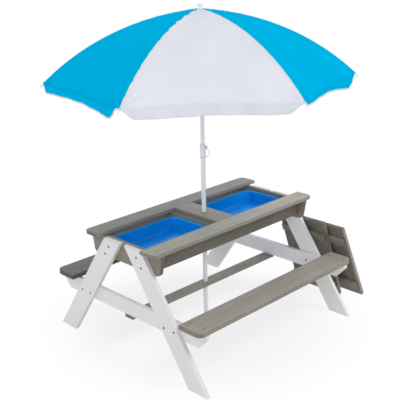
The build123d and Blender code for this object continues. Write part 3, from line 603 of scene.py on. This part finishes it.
canopy = {
    "ribAzimuth": 18.9, "goreCount": 6, "domeRadius": 1.021, "domeInset": 0.0698,
    "domeCentre": 0.3187, "eye": 0.012, "reach": 0.626, "thick": 0.0009,
    "domeRows": 60, "flapRows": 14, "columns": 48,
    # Sag between the ribs, which starts below the crown and is partly lost towards the rim
    "sag": 0.0055, "sagFull": 0.35, "sagLossFrom": 0.6, "sagLoss": 0.45,
    # Slow ripples: radians per metre along X, Y and Z, and the shift from gore to gore
    "ripple": 0.00096, "rippleTurns": ((19.0, 7.0, 0.0, 0.6), (-9.0, 23.0, 11.0, 1.0)),
    "rippleFull": 0.5,
    "tipFold": 0.0075, "tipFoldTurns": 9.0, "tipFoldStart": 0.020, "tipFoldReach": 0.070,
    # Seams: full near the crown, less below it. The wander is each rib's own.
    "crownEase": 0.025, "crownReach": 0.19, "belowCrown": 0.15,
    "seamWander": (0.0040, 0.0046, 0.0040, 0.0064, 0.0024, 0.0040),
    "wanderLengths": (0.058, 0.033), "wanderSecond": 0.7,
    "seamPucker": 0.0032, "puckerLength": 0.031, "puckerSlant": 0.35, "puckerStart": 0.005,
    "puckerReach": 0.028,
    # Flap: its lip beyond the rim, its slow wave and the creases near its ends
    "flapEndGap": 0.003, "flapRowEase": 1.15, "flapLeast": 0.0004,
    "flapLip": 0.0028, "lipDrop": 0.004, "flapTuck": 0.0015,
    "flapWave": 0.0020, "flapWaveLengths": (0.122, 0.047), "flapWaveSecond": 0.35,
    "flapWaveShift": 1.7,
    "crease": 0.0040, "creaseTop": 0.25, "creaseWidth": 0.036, "creaseReach": 0.060,
    # For each gore, from its first rib to its second: how far the rim is cut up in the middle, the
    # flap's depth at its start, middle and end, and the length of its two slanting ends
    "rimRise": (0.011, 0.014, 0.008, 0.016, 0.013, 0.010),
    "flapDepth": ((0.042, 0.035, 0.041), (0.041, 0.034, 0.040), (0.038, 0.031, 0.051),
                  (0.033, 0.039, 0.033), (0.012, 0.025, 0.060), (0.044, 0.034, 0.042)),
    "flapEndCut": ((0.060, 0.050), (0.055, 0.052), (0.042, 0.072), (0.048, 0.058),
                   (0.034, 0.100), (0.060, 0.056)),
    "flat": (0.313, 0.726), "area": 0.1135,
    "blue": (0.0, 0.475, 0.83, 1.0), "white": (0.775, 0.795, 0.86, 1.0), "relief": 0.0003,
    "whiteHalves": ("1_right", "2_left", "3_right", "4_left", "5_right", "6_left"),
}
binding = {
    # Half its width and thickness, and how far up from the flap's edge its middle lies
    "half": 0.0030, "thick": 0.0013, "lift": 0.0010, "facets": 10, "dye": (0.74, 0.73, 0.83, 1.0),
    # The length of thread round it, and a distance from the seams at which nothing is stitched
    "girth": 0.012, "fromSeams": 0.05,
}


def clothMaterial(name, dye):
    def values(tree):
        threads = put(tree, "UVMap", uv_map="threads").outputs[0]
        seams = put(tree, "UVMap", uv_map="seams").outputs[0]
        return {"Threads": threads, "Seams": seams, "Dye": dye}
    return finishWith(name, wovenCloth, values, canopy["relief"], {"Specular IOR Level": 0.0})


blueCloth = clothMaterial("blueCloth", canopy["blue"])
whiteCloth = clothMaterial("whiteCloth", canopy["white"])
tapeCloth = clothMaterial("tapeCloth", binding["dye"])


# Half gore surface. Down each column the cloth follows the rib's circle, r = R cos t - inset and
# z = centre + R sin t, and each row is the level chord from the rib to the gore's middle. From
# there it is moved along its normal by sag * sin(quarter turn * share), by slow sine ripples of
# its place, by folds that fan out from the rib's tip and by short puckers along the seam. The
# seam itself wanders a little to each side of the rib. Below the rim the flap hangs down by the
# depth at that column, which is the parabola through the gore's three depths, and it is moved
# outwards by a lip, a slow wave and creases that fade from its ends.
def halfGore(azimuth, side, gore):
    half = math.pi / canopy["goreCount"]
    outward, along = compass(math.radians(azimuth + side * 180 / canopy["goreCount"]))
    beside = compass(math.radians(azimuth))[1]
    share = np.linspace(0.0, 1.0, canopy["columns"] + 1)[None, :]
    down = np.linspace(0.0, 1.0, canopy["domeRows"] + 1)[:, None]
    slack = np.sin(share * math.pi / 2)
    radius = canopy["domeRadius"]
    eyeTurn = math.acos((canopy["eye"] + canopy["domeInset"]) / radius)
    tipTurn = math.acos((canopy["reach"] + canopy["domeInset"]) / radius)
    rimTurn = tipTurn + canopy["rimRise"][gore] / radius * slack ** 2
    turn = eyeTurn + (rimTurn - eyeTurn) * down
    reach = radius * np.cos(turn) - canopy["domeInset"]
    height = canopy["domeCentre"] + radius * np.sin(turn)
    chord = -side * (1.0 - share) * reach * math.sin(half)
    normal = np.cos(turn)[..., None] * outward + np.sin(turn)[..., None] * up
    flat = (reach * math.cos(half))[..., None] * outward + chord[..., None] * along
    flat = flat + height[..., None] * up

    sagLost = easeStep((down - canopy["sagLossFrom"]) / (1.0 - canopy["sagLossFrom"]))
    sag = canopy["sag"] * slack * (1.0 - canopy["sagLoss"] * sagLost)
    sag = sag * easeStep(down / canopy["sagFull"])
    x, y, z = np.moveaxis(flat, -1, 0)
    ripple = sum(np.sin(alongX * x + alongY * y + alongZ * z + shift * gore)
                 for alongX, alongY, alongZ, shift in canopy["rippleTurns"])
    ripple = canopy["ripple"] * ripple * slack * easeStep(down / canopy["rippleFull"])

    fromRib = share * reach * math.sin(half)
    aboveRim = (1.0 - down) * radius * (eyeTurn - rimTurn)
    fan = np.arctan2(aboveRim, fromRib + 1e-9)
    fold = canopy["tipFold"] * np.sin(canopy["tipFoldTurns"] * fan + gore)
    fold = fold * np.exp(-np.hypot(fromRib, aboveRim) / canopy["tipFoldReach"])
    fold = fold * easeStep(fromRib / canopy["tipFoldStart"])

    below = down * radius * (eyeTurn - tipTurn)
    nearCrown = np.exp(-(below / canopy["crownReach"]) ** 2)
    nearCrown = canopy["belowCrown"] + (1.0 - canopy["belowCrown"]) * nearCrown
    nearCrown = nearCrown * easeStep(below / canopy["crownEase"])
    slanted = below + canopy["puckerSlant"] * fromRib
    pucker = canopy["seamPucker"] * waveOf(slanted, canopy["puckerLength"], azimuth) * nearCrown
    pucker = pucker * np.exp(-fromRib / canopy["puckerReach"])
    pucker = pucker * easeStep(fromRib / canopy["puckerStart"])
    longWave, shortWave = canopy["wanderLengths"]
    wander = waveOf(below, longWave, azimuth)
    wander = wander + canopy["wanderSecond"] * waveOf(below, shortWave, 2 * azimuth)
    rib = gore if side > 0 else (gore + 1) % canopy["goreCount"]
    wander = canopy["seamWander"][rib] * wander * nearCrown * (1.0 - share) ** 3
    dome = flat + (ripple + fold + pucker - sag)[..., None] * normal + wander[..., None] * beside

    # The flap starts at the rim with the dome's slope and turns down within a few millimetres
    drop = np.linspace(0.0, 1.0, canopy["flapRows"] + 1)[1:, None] ** canopy["flapRowEase"]
    edge, line = fromRib[-1:, :], chord[-1:, :]
    endCut = canopy["flapEndCut"][gore][0 if side > 0 else 1]
    fullness = easeStep((edge - canopy["flapEndGap"]) / endCut)
    across = share / 2 if side > 0 else 1.0 - share / 2
    first, mid, last = canopy["flapDepth"][gore]
    depth = (first * (1.0 - across) * (1.0 - 2 * across) + 4 * mid * across * (1.0 - across)
             + last * across * (2 * across - 1.0))
    hang = drop * np.maximum(depth * fullness, canopy["flapLeast"])
    longWave, shortWave = canopy["flapWaveLengths"]
    wave = waveOf(line, longWave, canopy["flapWaveShift"] * gore)
    wave = wave + canopy["flapWaveSecond"] * waveOf(line, shortWave, gore)
    crease = waveOf(edge, canopy["creaseWidth"], azimuth) * np.exp(-edge / canopy["creaseReach"])
    crease = crease * (canopy["creaseTop"] + (1.0 - canopy["creaseTop"]) * drop)
    out = canopy["flapLip"] * (1.0 - np.exp(-hang / canopy["lipDrop"]))
    out = out + canopy["flapWave"] * wave * drop - canopy["flapTuck"] * drop
    out = (out + canopy["crease"] * crease) * fullness
    flap = dome[-1:] + out[..., None] * outward - hang[..., None] * up

    outer = np.concatenate([dome, flap])
    threads = np.stack([
        np.concatenate([chord, np.repeat(line, canopy["flapRows"], axis=0)]),
        np.concatenate([aboveRim[:1] - aboveRim, aboveRim[:1] + hang]),
    ], axis=-1)
    seams = np.stack([
        np.concatenate([fromRib, np.repeat(edge, canopy["flapRows"], axis=0)]),
        np.concatenate([aboveRim, -hang]),
    ], axis=-1)
    slopes = np.cross(np.gradient(outer, axis=1), np.gradient(outer, axis=0))
    slopes = unit(slopes * np.sign((slopes * (outward + up)).sum(-1, keepdims=True)))
    inner = outer - canopy["thick"] * slopes
    weight = np.repeat(1.0 - (1.0 - share) ** 2, len(outer), axis=0)
    return outer, inner, threads, seams, weight


# Quads of a closed sheet: its outer grid, its inner grid turned round, and the strips between
def sheetFaces(rows, columns, flip):
    outer, inner = indexGrid(rows, columns), indexGrid(rows, columns, rows * columns)
    rim = np.concatenate([outer[0, :], outer[1:, -1], outer[-1, -2::-1], outer[-2:0:-1, 0]])
    back = rim + rows * columns
    strip = np.stack([rim, np.roll(rim, -1), np.roll(back, -1), back], axis=1)
    faces = np.concatenate([quadsOf(outer), quadsOf(inner)[:, ::-1], strip])
    return faces[:, ::-1] if flip else faces


def joinHalves(piece, rib, cloth, start, end, weight):
    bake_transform(piece, rib, cloth, start=start, end=end)
    # The turn from rib to middle follows the columns, so that the cloth stays on its rib
    blend = piece.data.attributes["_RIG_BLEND"]
    blend.data.foreach_set("value", weight.astype(np.float32).ravel())


# Binding round the flap's edge: an ellipse carried along the edge, its long axis up the cloth
def addBinding(name, outer, inner, threads, weight):
    path = (outer[-1] + inner[-1]) / 2
    upward = unit(outer[-4] - outer[-1] + 1e-4 * up)  # towards the fourth row from the edge
    tangent = unit(np.gradient(path, axis=0))
    upward = unit(upward - tangent * (upward * tangent).sum(-1, keepdims=True))
    sideways = np.cross(tangent, upward)
    angle = roundOf(binding["facets"])[None, :, None]
    centre = (path + binding["lift"] * upward)[:, None, :]
    ring = centre + binding["half"] * np.cos(angle) * upward[:, None, :]
    ring = ring + binding["thick"] * np.sin(angle) * sideways[:, None, :]
    count, facets = ring.shape[:2]
    grid = indexGrid(count, facets)
    faces = [list(face) for face in quadsOf(np.concatenate([grid, grid[:, :1]], axis=1))]
    faces += [list(grid[0, ::-1]), list(grid[-1, :])]
    piece = addMesh(name, ring, [face[::-1] for face in faces], tapeCloth)
    far = np.repeat(threads[-1:, :, :].reshape(-1, 1, 2), facets, axis=1).reshape(-1, 2)
    roundTape = np.tile(np.linspace(0.0, binding["girth"], facets), count)[:, None]
    addMap(piece, "threads", far + roundTape * (0.0, 1.0))
    addMap(piece, "seams", np.full((count * facets, 2), binding["fromSeams"]))
    return piece, np.repeat(weight[-1], facets)


for index in range(canopy["goreCount"]):
    azimuth = canopy["ribAzimuth"] + index * 360 / canopy["goreCount"]
    for sideName, side in (("right", -1), ("left", 1)):
        half = f"{index + 1}_{sideName}"
        gore = index if side > 0 else (index - 1) % canopy["goreCount"]
        outer, inner, threads, seams, weight = halfGore(azimuth, side, gore)
        white = half in canopy["whiteHalves"]
        faces = sheetFaces(*outer.shape[:2], flip=side < 0)
        material = whiteCloth if white else blueCloth
        piece = addMesh(f"gore_{half}", np.stack([outer, inner]), faces, material)
        addMap(piece, "threads", np.tile(threads.reshape(-1, 2), (2, 1)))
        addMap(piece, "seams", np.tile(seams.reshape(-1, 2), (2, 1)))
        tape, tapeWeight = addBinding(f"binding_{half}", outer, inner, threads, weight)
        rib, cloth = f"rib_{index + 1}", f"cloth_{half}"
        start, end = outer[canopy["domeRows"], 0], outer[canopy["domeRows"], -1]
        joinHalves(piece, rib, cloth, start, end, np.tile(weight.ravel(), 2))
        joinHalves(tape, rib, cloth, start, end, tapeWeight)
        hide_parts(f"cloth_{half}")
print("canopy sewn")

# Strap that ties the lock pin to the collar

strap = {
    "azimuth": -45.0, "width": 0.005, "thick": 0.0014, "loopThick": 0.0024,
    "ringRadius": 0.01225, "ringHeight": 0.741, "ringPoints": 48,
    "reach": 0.027, "loopPoints": 25, "loopFullness": 0.75, "loopEase": 0.4,
    "pinHeight": 0.783, "drop": 0.0067, "tabPoints": 7, "tabOverlap": 0.0006,
    "eyeMiddle": 0.0125, "eyeHole": 0.0023, "eyeRound": 0.0037,
    "dye": (0.78, 0.78, 0.79, 1.0), "scuff": (0.75, 0.75, 0.76, 1.0), "relief": 0.00008,
}


# A rounded flat section: |x/a|^4 + |y/b|^4 = 1
def flatSection(halfWide, halfThick, facets=12):
    c, s = np.cos(roundOf(facets)), np.sin(roundOf(facets))
    wide, thick = np.sign(c) * np.sqrt(abs(c)), np.sign(s) * np.sqrt(abs(s))
    return np.stack([halfWide * wide, halfThick * thick], 1)


# Points and faces of a section carried along an open or closed path. Its first axis lies along
# wide, and its second one across the path.
def carrySection(path, wide, section, closed, start):
    tangent = np.gradient(path, axis=0)
    if closed:
        tangent = np.roll(path, -1, axis=0) - np.roll(path, 1, axis=0)
    wide = np.tile(wide, (len(path), 1))
    across = unit(np.cross(wide, unit(tangent)))
    points = path[:, None] + section[None, :, :1] * wide[:, None]
    points = points + section[None, :, 1:] * across[:, None]
    grid = indexGrid(*points.shape[:2], start)
    loop = np.concatenate([grid, grid[:, :1]], axis=1)
    if closed:
        loop = np.concatenate([loop, loop[:1]])
    faces = [list(face) for face in quadsOf(loop)]
    if not closed:
        faces += [list(grid[0, ::-1]), list(grid[-1, :])]
    return points.reshape(-1, 3), faces


# Ring round the collar, loop out and up to the pin, a washer for an eye round the pin's shank,
# and a short tab between loop and eye
def addStrap():
    out, across = compass(math.radians(strap["azimuth"]))
    band = flatSection(strap["width"] / 2, strap["thick"] / 2)
    thickBand = flatSection(strap["width"] / 2, strap["loopThick"] / 2)
    washer = flatSection(strap["thick"] / 2, (strap["eyeRound"] - strap["eyeHole"]) / 2)
    angle = roundOf(strap["ringPoints"])[:, None]
    ring = strap["ringRadius"] * (np.cos(angle) * out + np.sin(angle) * across)
    ring = ring + strap["ringHeight"] * up

    top = strap["pinHeight"] - strap["drop"]
    share = np.linspace(0.0, 1.0, strap["loopPoints"])[:, None]
    bulge = np.sin(share * math.pi) ** strap["loopFullness"]
    rise = strap["loopEase"] * easeStep(share) + (1.0 - strap["loopEase"]) * share
    loop = (strap["ringRadius"] + (strap["reach"] - strap["ringRadius"]) * bulge) * out
    loop = loop + (strap["ringHeight"] + (top - strap["ringHeight"]) * rise) * up

    rim = (strap["eyeHole"] + strap["eyeRound"]) / 2
    eye = strap["eyeMiddle"] * out + strap["pinHeight"] * up
    tabFoot, tabTop = top - strap["tabOverlap"], strap["pinHeight"] - rim
    tab = np.linspace(tabFoot, tabTop, strap["tabPoints"])[:, None] * up
    tab = strap["eyeMiddle"] * out + tab
    eye = eye + rim * (np.cos(angle) * up + np.sin(angle) * across)

    allPoints, allFaces = np.zeros((0, 3)), []
    for path, wide, section, closed in (
        (ring, up, band, True), (loop, across, thickBand, False),
        (eye, out, washer, True), (tab, across, band, False),
    ):
        points, faces = carrySection(path, wide, section, closed, len(allPoints))
        allPoints, allFaces = np.concatenate([allPoints, points]), allFaces + faces
    material = finishWith("strapRubber", mouldedSkin, lambda tree: {
        **objectPlace(tree), "Body": strap["dye"], "Scuff": strap["scuff"],
    }, strap["relief"])
    piece = addMesh("pin_strap_loop", allPoints, allFaces, material)
    foot = strap["ringRadius"] * out
    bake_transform(piece, "lower_pole", "lock_pin", start=foot + (strap["ringHeight"] + 0.003) * up, end=foot + top * up)
    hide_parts("pin_strap")


addStrap()
print("strap tied")

# Floor, light and camera

# Between near and far from the middle, the lit floor fades into plain white. Shown and glow are
# its colour and its own light to the eye, and bounce is the colour by which it lights the object.
stage = {"size": 60.0, "near": 0.35, "far": 0.80, "shown": 0.26, "glow": 0.735, "bounce": 0.74}
world = {"ambient": 0.42, "shown": 1.0}
plainWhite = (1.0, 1.0, 1.0, 1.0)


def addFloor():
    half = stage["size"] / 2
    corners = np.array(((-half, -half), (half, -half), (half, half), (-half, half)))
    points = np.column_stack([corners, np.zeros(4)])
    material, tree = blankMaterial("paleFloor")
    seen = seenRays(tree)
    place = put(tree, "TexCoord").outputs["Object"]
    away = put(tree, "VectorMath", {0: place}, operation="LENGTH").outputs["Value"]
    bounce, shown = toned((stage["bounce"],) * 3), toned((stage["shown"],) * 3)
    matte = put(tree, "BsdfDiffuse", {"Color": mixColour(tree, seen, bounce, shown)})
    strength = calc(tree, "MULTIPLY", seen, stage["glow"])
    glow = put(tree, "Emission", {"Color": plainWhite, "Strength": strength})
    lit = put(tree, "AddShader", {0: matte.outputs[0], 1: glow.outputs[0]})
    beyond = mixColour(tree, seen, bounce, plainWhite)
    far = put(tree, "Emission", {"Color": beyond, "Strength": 1.0})
    share = remap(tree, away, stage["near"], stage["far"])
    mixed = put(tree, "MixShader", {0: share, 1: lit.outputs[0], 2: far.outputs[0]})
    put(tree, "OutputMaterial", {"Surface": mixed.outputs[0]})
    addMesh("floor", points, [(0, 1, 2, 3)], material)


def addSky():
    sky = bpy.data.worlds.new("paleRoom")
    sky.use_nodes = True
    tree = sky.node_tree
    tree.nodes.clear()
    values = {"Value": seenRays(tree), "To Min": world["ambient"], "To Max": world["shown"]}
    level = put(tree, "MapRange", values).outputs[0]
    backdrop = put(tree, "Background", {"Color": plainWhite, "Strength": level})
    put(tree, "OutputWorld", {"Surface": backdrop.outputs[0]})
    bpy.context.scene.world = sky


addFloor()
addSky()

# Lamps: azimuth and elevation of each, its width and its light on a face turned to it
lampDistance, lampAim = 10.0, Vector((0.0, 0.0, 0.5))
lamps = {
    "backLeft": {"azimuth": 140.0, "elevation": 38.0, "width": 5.5, "level": 0.14},
    "backRight": {"azimuth": 50.0, "elevation": 38.0, "width": 5.5, "level": 0.17},
    "frontLeft": {"azimuth": 205.0, "elevation": 12.0, "width": 6.0, "level": 0.30},
    "frontRight": {"azimuth": 292.0, "elevation": 45.0, "width": 5.0, "level": 0.43},
}
for name, lamp in lamps.items():
    light = bpy.data.lights.new(name, "AREA")
    light.size = lamp["width"]
    light.energy = lamp["level"] * (math.pi * lampDistance) ** 2
    holder = bpy.data.objects.new(name, light)
    bpy.context.scene.collection.objects.link(holder)
    a, e = math.radians(lamp["azimuth"]), math.radians(lamp["elevation"])
    away = Vector((math.cos(a) * math.cos(e), math.sin(a) * math.cos(e), math.sin(e)))
    holder.location = away * lampDistance + lampAim
    holder.rotation_euler = away.to_track_quat("Z", "Y").to_euler()

camera = {
    "azimuth": -44.7223, "elevation": 18.8392, "roll": -1.248, "lens": 70.05, "sensor": 36.0,
    "place": (-2.1849, -2.1835, 1.6083),
}


# Camera: it looks along the opposite of back, and roll turns it about that line
def addCamera():
    lens = bpy.data.cameras.new("camera")
    lens.lens, lens.sensor_width = camera["lens"], camera["sensor"]
    holder = bpy.data.objects.new("camera", lens)
    bpy.context.scene.collection.objects.link(holder)
    a, e, r = (math.radians(camera[key]) for key in ("azimuth", "elevation", "roll"))
    back = Vector((math.sin(a) * math.cos(e), -math.cos(a) * math.cos(e), math.sin(e)))
    right = Vector((0.0, 0.0, 1.0)).cross(back).normalized()
    above = back.cross(right)
    rolledRight = right * math.cos(r) + above * math.sin(r)
    rolledAbove = above * math.cos(r) - right * math.sin(r)
    turn = Matrix((rolledRight, rolledAbove, back)).transposed()
    holder.matrix_world = Matrix.Translation(camera["place"]) @ turn.to_4x4()
    bpy.context.scene.camera = holder


addCamera()
bpy.context.scene.view_settings.view_transform = "Standard"
print("stage lit")
